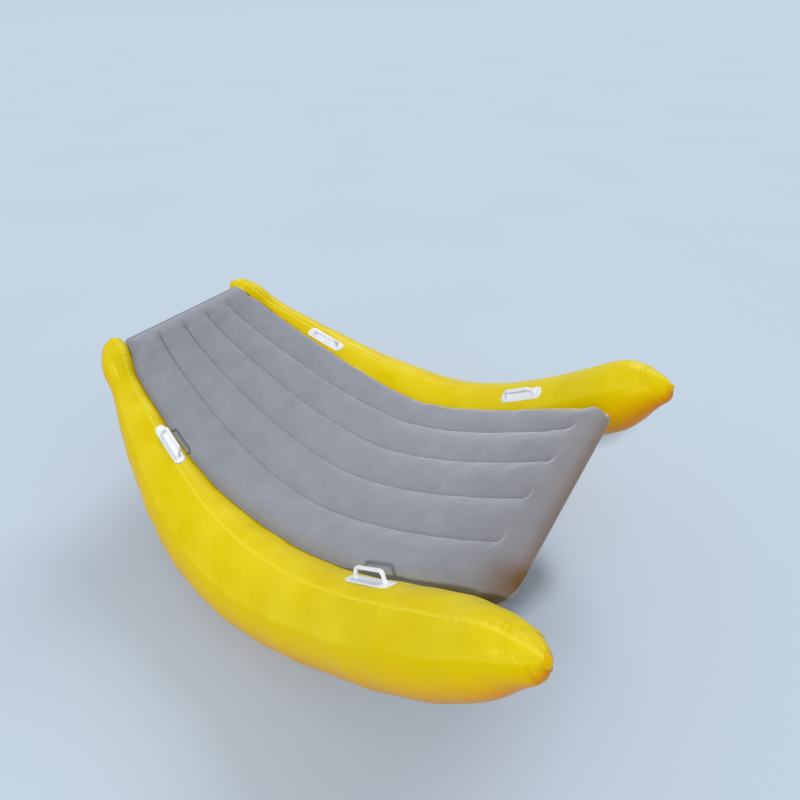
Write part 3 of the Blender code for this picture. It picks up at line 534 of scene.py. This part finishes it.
SHEET_PUCKERS, SHEET_PUCKER_WAVES, SHEET_PUCKER_LENGTHS = 0.00012, 6, (0.022, 0.055)
FAN_HEIGHT, FAN_SIZE, FAN_SPOKES, FAN_INSET = 0.0008, 0.034, 5, 0.012
TAIL_HEIGHT, TAIL_WIDTH, TAIL_LENGTH, TAIL_CURL = 0.0010, 0.005, 0.030, 14.0
MATTRESS_HEAD = -MATTRESS_HEAD_REACH / HEAD_REACH
MATTRESS_FOOT = MATTRESS_FOOT_REACH / FOOT_REACH


def crown_height(share):
    """How far a channel stands out from the weld line."""
    return CROWN_HEIGHT - (CROWN_HEIGHT - FOOT_CROWN_HEIGHT) * np.maximum(0, share) ** 2


def mattress_line(share):
    """Height of the weld line above the tubes' centre line, square to it."""
    tilt = (FOOT_TOP_HEIGHT - HEAD_TOP_HEIGHT) / 2
    bow = (FOOT_TOP_HEIGHT + HEAD_TOP_HEIGHT) / 2 - MIDDLE_TOP_HEIGHT
    line = MIDDLE_TOP_HEIGHT + tilt * share + bow * share ** 2 - crown_height(share)
    return np.minimum(line, WELD_REACH_SHARE * tube_radius(share))


def chair_point(share, y, height):
    """Points at a height over the tubes' centre lines, square to them."""
    x, z, along_x, along_z = rocker(share)
    return np.stack(np.broadcast_arrays(x - height * along_z, y, z + height * along_x), -1)


def room_beside(share, height, side):
    """Half the width between the tubes at this height over their centre lines, square to them."""
    level = np.clip(height / tube_radius(share), -1, 1)
    skin = (tube_radius(share) + fullness(side, share, math.pi - np.arcsin(level))
            + BAND_LIFT + BAND_FILM + GAP)
    return half_spread(share) - np.sqrt(np.maximum(skin ** 2 - height ** 2, 0)) - GAP


def corner_drop(share, y):
    """The foot's corners are drawn down along the tubes' flanks."""
    width = mattress_half_width(share) - CORNER_START
    outward = np.clip((np.abs(y) - CORNER_START) / width, 0, 1)
    near_foot = eased((share - CORNER_DROP_FROM) / (MATTRESS_FOOT - CORNER_DROP_FROM))
    return CORNER_DROP * outward ** 1.6 * near_foot


def mattress_half_width(share):
    """Half width out to the welded edge, taken on the plainer right tube for both sides."""
    return room_beside(share, mattress_line(share) - MATTRESS_FILM - GAP / 2, -1)


def end_distance(share):
    """Metres to the nearer end of the mattress."""
    return np.minimum((share - MATTRESS_HEAD) * slant(MATTRESS_HEAD),
                      (MATTRESS_FOOT - share) * slant(MATTRESS_FOOT))


def channel_pitch(share):
    """Distance between the seams, which draw together with the tubes."""
    return CHANNEL_WIDTH * half_spread(share) / MIDDLE_HALF_SPREAD


def seam_fade(share):
    """0 beyond the ends of the seams, 1 where they are fully drawn in."""
    stop = np.where(share < 0, SEAM_STOP, FOOT_SEAM_STOP)
    return np.clip((end_distance(share) - stop) / SEAM_FADE, 0, 1)


def mattress_height(share, kind):
    """Height over the weld line. kind is the share of the crown, and -1 the flange's level."""
    distance = end_distance(share) - WELD_FLANGE
    roll = np.clip(distance / END_ROLL, 0, 1)
    fade = seam_fade(share)
    crown = crown_height(share)
    seam = crown * (1 - (1 - SEAM_SHARE) * fade)
    below = seam * (1 + kind * (1 - SEAM_SHARE) / SEAM_SHARE)
    height = np.where(kind >= 0, seam + (crown - seam) * kind, below)
    return np.maximum(GAP / 2 + MATTRESS_FILM, height * np.sqrt(1 - (1 - roll) ** 2))


def mattress_face(face):
    """Points of the top (1) or bottom (-1) sheet, their distance from the foot, and their y."""
    steps = np.linspace(0, 1, 22)
    ends = (WELD_FLANGE + END_ROLL) * 1.3 * steps ** 1.3
    from_head = MATTRESS_HEAD + ends / slant(MATTRESS_HEAD)
    from_foot = MATTRESS_FOOT - ends[::-1] / slant(MATTRESS_FOOT)
    between = np.linspace(from_head[-1], from_foot[0], 232)[1:-1]
    rows = np.concatenate([from_head, between, from_foot])
    share = rows[:, None]
    pitch = channel_pitch(share)
    edges = {}
    for side in (-1, 1):
        corner = np.where(share < 0, HEAD_CORNER, FOOT_CORNERS[side])
        short = np.maximum(0.0, corner - end_distance(share))
        edges[side] = mattress_half_width(share) - corner + np.sqrt(corner ** 2 - short ** 2)
    q = 0.5 * np.sin(math.pi / 2 * np.linspace(-1, 1, 31))
    channels = [(channel + q[:-1]) * pitch for channel in (-1, 0, 1)]
    inner_y = np.concatenate(channels + [1.5 * pitch], axis=1)
    inner_kind = np.cos(math.pi * q[:-1]).clip(0) ** CROWN_ROUNDNESS
    inner_kind[0] = 0.0
    inner_kind = np.concatenate([np.tile(inner_kind, 3), [0.0]])
    out = np.sin(math.pi / 2 * np.linspace(0, 1, 33)[1:]) ** 1.5
    rise = np.sin(math.pi * np.minimum(out, 0.5)) ** CROWN_ROUNDNESS
    fall = 1 - (np.maximum(0, out - 0.5) / 0.5) ** 3 / (1 - SEAM_SHARE)
    outer_kind = np.where(out < 0.5, rise, fall)
    right, left = (1.5 * pitch + (edges[side] - WELD_FLANGE - 1.5 * pitch) * out
                   for side in (-1, 1))
    y = np.concatenate([-edges[-1], -right[:, ::-1], inner_y, left, edges[1]], axis=1)
    kind = np.concatenate([[-9.0], outer_kind[::-1], inner_kind, outer_kind, [-9.0]])[None, :]
    height = mattress_height(share, kind)
    outmost = np.clip((np.abs(y) - 2.0 * pitch) / (edges[1] - 2.0 * pitch), 0, 1)
    crowned = np.clip(height / crown_height(share), 0, 1)
    bulge = SIDE_BULGE * outmost * crowned * eased(end_distance(share) / 0.15)
    y = y + np.sign(y) * bulge * (face > 0)
    along = share * slant(share) * np.ones_like(y)
    off_seam = np.min([np.abs(y - seam * pitch) for seam in SEAM_PLACES], axis=0)
    live = eased((height - 0.006) / 0.012)
    draw = random.Random(70 + face)
    puckers = np.zeros_like(y)
    for _ in range(SHEET_PUCKER_WAVES):
        pace = 2 * math.pi / draw.uniform(*SHEET_PUCKER_LENGTHS)
        puckers += np.sin(along * pace + y * draw.uniform(-30, 30) + draw.uniform(0, 6.28))
    drawn = seam_fade(share)
    relief = SHEET_PUCKERS * puckers * np.exp(-off_seam / 0.020) * drawn
    relief -= SEAM_CREASE * hump(off_seam, SEAM_CREASE_WIDTH) * drawn
    relief += 0.0011 * swell(along, y, 90 + face, 0.12)
    relief += 0.0004 * swell(along, y, 95 + face, 0.035)
    for tip, stop in ((MATTRESS_HEAD, SEAM_STOP), (MATTRESS_FOOT, FOOT_SEAM_STOP)):
        inward = np.abs(share - tip) * slant(tip) - stop
        for seam in SEAM_PLACES:
            sideways = y - seam * pitch
            spoke = np.arctan2(sideways, inward - FAN_INSET)
            far = np.hypot(sideways, inward - FAN_INSET)
            fan = np.cos(FAN_SPOKES * spoke + draw.uniform(0, 6.28))
            relief += FAN_HEIGHT * fan * hump(far, FAN_SIZE) * (far / FAN_SIZE)
            bent = sideways + TAIL_CURL * np.minimum(0, inward - 0.010) ** 2
            tail = eased((inward + TAIL_LENGTH) / TAIL_LENGTH) * eased(1 - inward / TAIL_LENGTH)
            relief += TAIL_HEIGHT * hump(bent, TAIL_WIDTH) * tail
    level = mattress_line(share) - corner_drop(share, y) + face * (height + relief * live)
    side = np.where(y > 0, 1, -1)
    y = side * np.minimum(np.abs(y), room_beside(share, level, side))
    points = chair_point(share, y, level)
    return points, (MATTRESS_FOOT - share) * slant(MATTRESS_FOOT) * np.ones_like(y), y


# Flocked PVC: short nylon fibre shot onto a glued sheet. It scatters light like suede, has a
# soft sheen at grazing angles, and the nap lies in patches, a few centimetres across, that
# look lighter or darker. The fibres are drawn about 3 mm across, where real ones are 0.5 mm.
flock, place, shader = new_material("flocked_grey_pvc", Roughness=0.92, IOR=1.45,
                                    Sheen_Weight=0.8, Sheen_Roughness=0.4,
                                    Sheen_Tint=linear("#E4ECF4"), Specular_IOR_Level=0.2)
patches = add(flock, "ShaderNodeTexNoise", [("Vector", place)],
              Scale=11.0, Detail=4.0, Roughness=0.6)
nap = add(flock, "ShaderNodeTexNoise", [("Vector", place)], Scale=330.0, Detail=2.0)
both = add(flock, "ShaderNodeMath", [(0, nap.outputs["Fac"]), (2, patches.outputs["Fac"])],
           operation="MULTIPLY_ADD")
both.inputs[1].default_value = 0.35
tint = add(flock, "ShaderNodeValToRGB", [("Fac", both.outputs[0])],
           stops=[(0.40, "#8D9099"), (0.68, "#9396A0"), (0.95, "#999CA5")])
# Painted shade and a painted reflection of the yellow tubes turn the nap towards this brown.
warmth = add(flock, "ShaderNodeAttribute", attribute_name="warmth")
tint = add(flock, "ShaderNodeMixRGB",
           [("Fac", warmth.outputs["Fac"]), ("Color1", tint.outputs["Color"])],
           Color2=linear("#6E5232"))
fibres = add(flock, "ShaderNodeBump", [("Height", nap.outputs["Fac"])],
             Strength=0.35, Distance=0.0012)
finish(flock, shader, tint.outputs["Color"], fibres.outputs["Normal"])

# The bottom sheet is the same film without the fibre: satin, a shade darker, with a grain.
backing, place, shader = new_material("satin_grey_pvc_film", Roughness=0.45, IOR=1.53)
cloud = add(backing, "ShaderNodeTexNoise", [("Vector", place)], Scale=9.0, Detail=3.0)
tint = add(backing, "ShaderNodeValToRGB", [("Fac", cloud.outputs["Fac"])],
           stops=[(0.3, "#7D7D82"), (0.7, "#8A8A8F")])
grain = add(backing, "ShaderNodeTexNoise", [("Vector", place)], Scale=260.0, Detail=2.0)
peel = add(backing, "ShaderNodeBump", [("Height", grain.outputs["Fac"])],
           Strength=0.12, Distance=0.001)
finish(backing, shader, tint.outputs["Color"], peel.outputs["Normal"])

points, from_foot, y = mattress_face(1)
top, used = skin_mesh("mattress_flocked_top", points, flock, MATTRESS_FILM, turned=True)
# Painted shade and a painted reflection of the yellow tubes: the nap is browner towards the
# foot, along its rolled edge and in its right corner.
shade_and_reflection_share = 0.26 * eased(1 - from_foot / 0.45)
shade_and_reflection_share += 0.45 * np.exp(-np.maximum(0, from_foot - 0.008) / 0.014)
shade_and_reflection_share += 0.55 * eased(1 - from_foot / 0.16) * eased((-y - 0.32) / 0.08)
mark_points(top, "warmth", shade_and_reflection_share.clip(0, 1).ravel()[used])
dress(top, "grey_flock", "mattress_top_sheet")
points, kept = pressed_flat(mattress_face(-1)[0], "mattress_valve")
bottom, _ = skin_mesh("mattress_film_bottom", points, backing, MATTRESS_FILM, kept=kept)
dress(bottom, "grey_film", "mattress_bottom_sheet")

# Webs are milky film, welded to both sheets along each seam; they hold the channels in shape.
WEB_FILM, WEB_CLEARANCE = 0.0008, 0.0020
web_film, place, shader = new_material("milky_pvc_web_film", Roughness=0.35, IOR=1.53)
cloud = add(web_film, "ShaderNodeTexNoise", [("Vector", place)], Scale=20.0, Detail=2.0)
tint = add(web_film, "ShaderNodeValToRGB", [("Fac", cloud.outputs["Fac"])],
           stops=[(0.3, "#B9B9BC"), (0.7, "#C6C6C8")])
peel = add(web_film, "ShaderNodeBump", [("Height", cloud.outputs["Fac"])],
           Strength=0.2, Distance=0.002)
finish(web_film, shader, tint.outputs["Color"], peel.outputs["Normal"])
inset = SEAM_STOP + SEAM_FADE
web_shares = np.linspace(MATTRESS_HEAD + inset / slant(MATTRESS_HEAD),
                         MATTRESS_FOOT - inset / slant(MATTRESS_FOOT), 160)
for number, seam in enumerate(SEAM_PLACES, 1):
    share = web_shares[:, None]
    half = mattress_height(share, np.zeros_like(share)) - MATTRESS_FILM - WEB_CLEARANCE
    level_share = np.linspace(-1, 1, 5)[None, :]
    height = mattress_line(share) + level_share * half
    points = chair_point(share, seam * channel_pitch(share), height)
    web, _ = skin_mesh(f"web_{number}", points, web_film, WEB_FILM)
    dress(web, "web_film", f"mattress_web_{number}")

# Bands of the tubes' film, welded to their inner flanks, carry the mattress's edge.
BAND_SHADE = 0.35
band_shares = np.linspace(MATTRESS_HEAD + BAND_INSET / slant(MATTRESS_HEAD),
                          MATTRESS_FOOT - BAND_INSET / slant(MATTRESS_FOOT), 200)
for side, word in ((1, "left"), (-1, "right")):
    share = band_shares[:, None]
    radius = tube_radius(share)
    edge = mattress_line(share) - corner_drop(share, mattress_half_width(share))
    middle = math.pi - np.arcsin(edge / radius)
    angle = middle + np.linspace(-1, 1, 9)[None, :] * BAND_HALF_WIDTH / radius
    points = tube_point(side, share * np.ones_like(angle), angle, BAND_LIFT + BAND_FILM)
    band, used = skin_mesh(word + "_band", points, pvc, BAND_FILM, turned=side < 0)
    mark_points(band, "shade", np.full(len(used), BAND_SHADE))
    dress(band, "yellow_film", word + "_weld_band")

# ---------------------------------------------------------------- grab handles
# Four handles, each moulded in one piece of soft white vinyl: a plate, welded to the tube
# round its thin rim, and a loop for one hand that stands up from it on two flared feet.

HEAD_HANDLE_X, FOOT_HANDLE_X = -0.590, 0.540
HEAD_HANDLE_LEAN, FOOT_HANDLE_LEAN = math.radians(19), math.radians(27)
PLATE_LENGTH, PLATE_WIDTH, PLATE_CORNER = 0.196, 0.056, 0.022
PLATE_THICKNESS, PLATE_SEAT = 0.003, 0.0005
# The plate's profile: how far each ring lies inside the outline, and its height.
PLATE_PROFILE = ((0.0, 0.0), (0.0, 0.0014), (0.0040, 0.0014), (0.0052, PLATE_THICKNESS))
PLATE_SPOKES = 120
LOOP_LENGTH, LOOP_HEIGHT, LOOP_BEND, LOOP_BAR = 0.118, 0.034, 0.016, 0.0065
LOOP_SPLAY, LOOP_LEAN, LOOP_SHORT = 0.0075, 0.0040, 0.0015
LOOP_FLATNESS, FOOT_FLARE, FLARE_HEIGHT, LOOP_SIDES = 0.82, 0.75, 0.0045, 20
FILLET_VOXEL, FILLET_PASSES = 0.0011, 6


def loop_bar():
    """Rings of the loop's bar, from one foot over the top to the other, flaring into the plate."""
    foot, base = -LOOP_LENGTH / 2 - LOOP_SPLAY, PLATE_THICKNESS / 2
    leg = LOOP_HEIGHT - LOOP_BEND - LOOP_SHORT
    path = [(foot + LOOP_LEAN * k / 5, base + leg * k / 5) for k in range(6)]
    x, z = path[-1]
    for k in range(1, 10):
        turn = math.pi / 2 * k / 9
        path.append((x + LOOP_BEND * (1 - math.cos(turn)), z + (LOOP_HEIGHT - z) * math.sin(turn)))
    path += [(path[-1][0] * (1 - k / 6), LOOP_HEIGHT) for k in range(1, 6)]
    path += [(0.0, LOOP_HEIGHT)]
    path += [(-x, z) for x, z in reversed(path[:-1])]
    return np.array(path)


def handle_mesh():
    """Plate and loop as one moulding: joined by a fine voxel remesh, then smoothed to fillets."""
    mesh = bpy.data.meshes.new("handle_form")
    verts, faces = [], []
    outline = []
    for spoke in range(PLATE_SPOKES):
        turn = 2 * math.pi * spoke / PLATE_SPOKES
        corner = (math.copysign(PLATE_LENGTH / 2 - PLATE_CORNER, math.cos(turn)),
                  math.copysign(PLATE_WIDTH / 2 - PLATE_CORNER, math.sin(turn)))
        outline.append((corner[0] + PLATE_CORNER * math.cos(turn),
                        corner[1] + PLATE_CORNER * math.sin(turn)))
    for inset, height in PLATE_PROFILE:
        shrink_x = 1 - inset / (PLATE_LENGTH / 2)
        shrink_y = 1 - inset / (PLATE_WIDTH / 2)
        verts += [(x * shrink_x, y * shrink_y, height) for x, y in outline]

    def tube_faces(first, rings, sides):
        """Quads round rings of points, and a flat face over each end."""
        for ring in range(rings - 1):
            for k in range(sides):
                n = (k + 1) % sides
                a = first + ring * sides
                faces.append((a + k, a + n, a + sides + n, a + sides + k))
        last = first + (rings - 1) * sides
        faces.append(tuple(reversed(range(first, first + sides))))
        faces.append(tuple(range(last, last + sides)))

    tube_faces(0, len(PLATE_PROFILE), PLATE_SPOKES)
    path = loop_bar()
    tangent = np.gradient(path, axis=0)
    tangent /= np.linalg.norm(tangent, axis=1)[:, None]
    first = len(verts)
    for (x, z), (tx, tz) in zip(path, tangent):
        flare = 1 + FOOT_FLARE * hump(z - PLATE_THICKNESS / 2, FLARE_HEIGHT)
        for k in range(LOOP_SIDES):
            turn = 2 * math.pi * k / LOOP_SIDES
            across = LOOP_BAR * flare * math.cos(turn)
            out = LOOP_FLATNESS * LOOP_BAR * flare * math.sin(turn)
            verts.append((x - tz * out, across, z + tx * out))
    tube_faces(first, len(path), LOOP_SIDES)
    mesh.from_pydata([tuple(map(float, v)) for v in verts], [], faces)
    form = bpy.data.objects.new("handle_form", mesh)
    bpy.context.scene.collection.objects.link(form)
    voxels = form.modifiers.new("joined", "REMESH")
    voxels.mode = "VOXEL"
    voxels.voxel_size = FILLET_VOXEL
    soft = form.modifiers.new("fillets", "SMOOTH")
    soft.factor = 0.5
    soft.iterations = FILLET_PASSES
    view = bpy.context.evaluated_depsgraph_get()
    moulded = bpy.data.meshes.new_from_object(form.evaluated_get(view), depsgraph=view)
    bpy.data.objects.remove(form, do_unlink=True)
    bpy.data.meshes.remove(mesh)
    return moulded


# Soft white vinyl, injection moulded: satin, faintly blue, with the mould's fine spark grain.
vinyl, place, shader = new_material("moulded_white_vinyl", Roughness=0.36, IOR=1.5,
                                    Coat_Weight=0.1, Coat_Roughness=0.3)
cloud = add(vinyl, "ShaderNodeTexNoise", [("Vector", place)], Scale=40.0, Detail=3.0)
tint = add(vinyl, "ShaderNodeValToRGB", [("Fac", cloud.outputs["Fac"])],
           stops=[(0.3, "#E8EBF1"), (0.7, "#F2F4F8")])
spark = add(vinyl, "ShaderNodeTexNoise", [("Vector", place)], Scale=1100.0, Detail=1.0)
grain = add(vinyl, "ShaderNodeBump", [("Height", spark.outputs["Fac"])],
            Strength=0.08, Distance=0.0004)
finish(vinyl, shader, tint.outputs["Color"], grain.outputs["Normal"])

moulded = handle_mesh()
flat = np.empty(len(moulded.vertices) * 3, np.float32)
moulded.vertices.foreach_get("co", flat)
flat = flat.reshape(-1, 3).astype(float)
for side, word in ((1, "left"), (-1, "right")):
    for end_word, x, lean in (("head", HEAD_HANDLE_X, HEAD_HANDLE_LEAN),
                              ("foot", FOOT_HANDLE_X, FOOT_HANDLE_LEAN)):
        share = x / (HEAD_REACH if x < 0 else FOOT_REACH)
        here = share + flat[:, 0] / slant(share)
        angle = math.pi / 2 + lean - side * flat[:, 1] / tube_radius(here)
        points = tube_point(side, here, angle, flat[:, 2] + PLATE_SEAT)
        mesh = moulded.copy()
        mesh.vertices.foreach_set("co", points.astype(np.float32).ravel())
        mesh.update()
        mesh.shade_smooth()
        mesh.materials.clear()
        mesh.materials.append(vinyl)
        handle = bpy.data.objects.new(f"{word}_{end_word}_grab_handle", mesh)
        bpy.context.scene.collection.objects.link(handle)
        dress(handle, "white_handle", f"{word}_{end_word}_handle")

# ---------------------------------------------------------------- valves
# Three screw valves: a soft base welded in the film, a gasket, an insert that screws in, its
# one-way flap and a hinged cap. Their shapes come from the CAD; here they get their plastics.

# Rigid PVC, injection moulded: near white and glossy, with faint flow marks.
rigid, place, shader = new_material("moulded_rigid_pvc", Roughness=0.28, IOR=1.53)
flow = add(rigid, "ShaderNodeTexNoise", [("Vector", place)], Scale=120.0, Detail=3.0)
tint = add(rigid, "ShaderNodeValToRGB", [("Fac", flow.outputs["Fac"])],
           stops=[(0.3, "#DDE0E4"), (0.7, "#E9EBEE")])
grain = add(rigid, "ShaderNodeBump", [("Height", flow.outputs["Fac"])],
            Strength=0.08, Distance=0.0006)
finish(rigid, shader, tint.outputs["Color"], grain.outputs["Normal"])

# Moulded nitrile rubber: black, matt, with a fine powdery grain.
rubber, place, shader = new_material("moulded_nitrile_rubber", Roughness=0.75, IOR=1.52)
bloom = add(rubber, "ShaderNodeTexNoise", [("Vector", place)], Scale=200.0, Detail=3.0)
tint = add(rubber, "ShaderNodeValToRGB", [("Fac", bloom.outputs["Fac"])],
           stops=[(0.3, "#1B1B1C"), (0.8, "#2A2A2B")])
grain = add(rubber, "ShaderNodeBump", [("Height", bloom.outputs["Fac"])],
            Strength=0.2, Distance=0.0004)
finish(rubber, shader, tint.outputs["Color"], grain.outputs["Normal"])

plastics = {"base": rigid, "gasket": rubber, "insert": rigid, "flap": rubber, "cap": rigid}
for valve in ("left_tube_valve", "right_tube_valve", "mattress_valve"):
    for part, material in plastics.items():
        for slot in frame["nodes"][f"{valve}_{part}"].material_slots:
            slot.material = material

# ---------------------------------------------------------------- studio
# A pale blue-grey sweep under soft light, with one crisp key lamp from the near side that
# throws the handles' loops as shadows on the flock.

FLOOR_REACH, FLOOR_DROP = 2000.0, 0.0005
KEY_TOWARDS, KEY_STRENGTH, KEY_SPREAD = (0.13, -0.70, 0.70), 1.55, 6.0
BACK_TOWARDS, BACK_STRENGTH, BACK_SPREAD = (-0.10, 0.80, 0.60), 1.25, 30.0
AIR_STRENGTH = 0.48

floor_paint, place, shader = new_material("matt_pale_blue_floor", Roughness=0.95,
                                          Specular_IOR_Level=0.0)
cloud = add(floor_paint, "ShaderNodeTexNoise", [("Vector", place)], Scale=0.5, Detail=1.0)
tint = add(floor_paint, "ShaderNodeValToRGB", [("Fac", cloud.outputs["Fac"])],
           stops=[(0.3, "#C3D1DE"), (0.7, "#C5D3E0")])
floor_paint.node_tree.links.new(tint.outputs["Color"], shader.inputs["Base Color"])
floor_mesh = bpy.data.meshes.new("floor")
corners = [(x * FLOOR_REACH, y * FLOOR_REACH, 0) for x, y in ((-1, -1), (1, -1), (1, 1), (-1, 1))]
floor_mesh.from_pydata(corners, [], [(0, 1, 2, 3)])
floor_mesh.materials.append(floor_paint)
floor = bpy.data.objects.new("floor", floor_mesh)
floor.location.z = -FLOOR_DROP
bpy.context.scene.collection.objects.link(floor)

world = bpy.data.worlds.new("studio")
bpy.context.scene.world = world
world.use_nodes = True
air = world.node_tree.nodes["Background"]
air.inputs["Color"].default_value = linear("#F4F7FC")
air.inputs["Strength"].default_value = AIR_STRENGTH
seen = add(world, "ShaderNodeBackground", Color=linear("#C5D4E2"), Strength=1.0)
rays = add(world, "ShaderNodeLightPath")
straight = rays.outputs["Is Camera Ray"]
for ray in ("Is Glossy Ray", "Is Transmission Ray"):
    either = add(world, "ShaderNodeMath", [(0, straight), (1, rays.outputs[ray])],
                 operation="MAXIMUM")
    straight = either.outputs[0]
mixed = add(world, "ShaderNodeMixShader",
            [(0, straight), (1, air.outputs[0]), (2, seen.outputs[0])])
world.node_tree.links.new(mixed.outputs[0],
                          world.node_tree.nodes["World Output"].inputs["Surface"])

for name, towards, strength, spread in (("key", KEY_TOWARDS, KEY_STRENGTH, KEY_SPREAD),
                                        ("back", BACK_TOWARDS, BACK_STRENGTH, BACK_SPREAD)):
    lamp = bpy.data.lights.new(name, "SUN")
    lamp.energy = strength
    lamp.angle = math.radians(spread)
    light = bpy.data.objects.new(name, lamp)
    light.matrix_world = Vector(towards).to_track_quat("Z", "Y").to_matrix().to_4x4()
    bpy.context.scene.collection.objects.link(light)

bpy.context.scene.view_settings.view_transform = "Standard"
